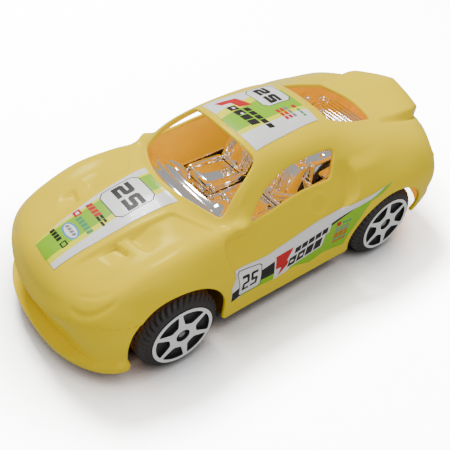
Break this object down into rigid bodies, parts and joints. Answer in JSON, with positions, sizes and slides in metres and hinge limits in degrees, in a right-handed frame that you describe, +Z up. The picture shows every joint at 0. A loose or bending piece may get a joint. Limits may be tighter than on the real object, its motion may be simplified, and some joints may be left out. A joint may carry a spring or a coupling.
{
  "type": "pull back car",
  "caption": "Toy sports coupe with a moulded shell, open windows, plated cabin, spoked wheels and a wind-up spring motor geared to the rear axle.",
  "frame": {"origin": "on the ground, midway along the car and midway between its sides", "axes": "+X to the nose, +Y to the car's left side, +Z up"},
  "size_m": [0.1424, 0.066, 0.0522],
  "materials": {
    "body_yellow": "glossy injection moulded plastic",
    "chassis_black": "matte moulded plastic",
    "cabin_chrome": "vacuum plated plastic, mirror bright",
    "axle_steel": "drawn steel rod",
    "hub_black": "black plastic with a hot stamped silver face",
    "tyre_black": "soft black tyre with a blocked shoulder",
    "motor_grey": "matte moulded plastic",
    "gear_white": "white acetal",
    "spring_steel": "blued spring strip",
    "screw_steel": "plated steel",
    "sticker_print": "printed glossy film"
  },
  "bodies": {
    "car": {"body_shell": "body_yellow", "chassis": "chassis_black", "interior_tray": "cabin_chrome", "motor_case": "motor_grey", "motor_cover": "motor_grey", "mainspring": "spring_steel", "body_screws": "screw_steel", "motor_screws": "screw_steel", "hood_sticker": "sticker_print", "roof_sticker": "sticker_print", "side_sticker_left": "sticker_print", "side_sticker_right": "sticker_print"},
    "front_wheelset": {"front_axle": "axle_steel", "hub_front_left": "hub_black", "hub_front_right": "hub_black", "tyre_front_left": "tyre_black", "tyre_front_right": "tyre_black"},
    "rear_wheelset": {"rear_axle": "axle_steel", "hub_rear_left": "hub_black", "hub_rear_right": "hub_black", "tyre_rear_left": "tyre_black", "tyre_rear_right": "tyre_black", "axle_pinion": "gear_white"},
    "idler": {"idler_gear": "gear_white"},
    "drum": {"drum_gear": "gear_white"}
  },
  "joints": [
    {"name": "front_axle_spin", "type": "hinge", "parent": "car", "child": "front_wheelset", "pos_m": [0.041, 0, 0.0132], "axis": [0, 1, 0], "continuous": true},
    {"name": "rear_axle_spin", "type": "hinge", "parent": "car", "child": "rear_wheelset", "pos_m": [-0.041, 0, 0.0132], "axis": [0, 1, 0], "continuous": true},
    {"name": "idler_spin", "type": "hinge", "parent": "car", "child": "idler", "pos_m": [-0.03276, 0, 0.01897], "axis": [0, 1, 0], "continuous": true},
    {"name": "drum_spin", "type": "hinge", "parent": "car", "child": "drum", "pos_m": [-0.02174, 0, 0.01801], "axis": [0, 1, 0], "continuous": true}
  ],
  "couplings": [
    {"joint": "idler_spin", "follows": "rear_axle_spin", "ratio": -0.42857},
    {"joint": "drum_spin", "follows": "rear_axle_spin", "ratio": 0.16071}
  ]
}
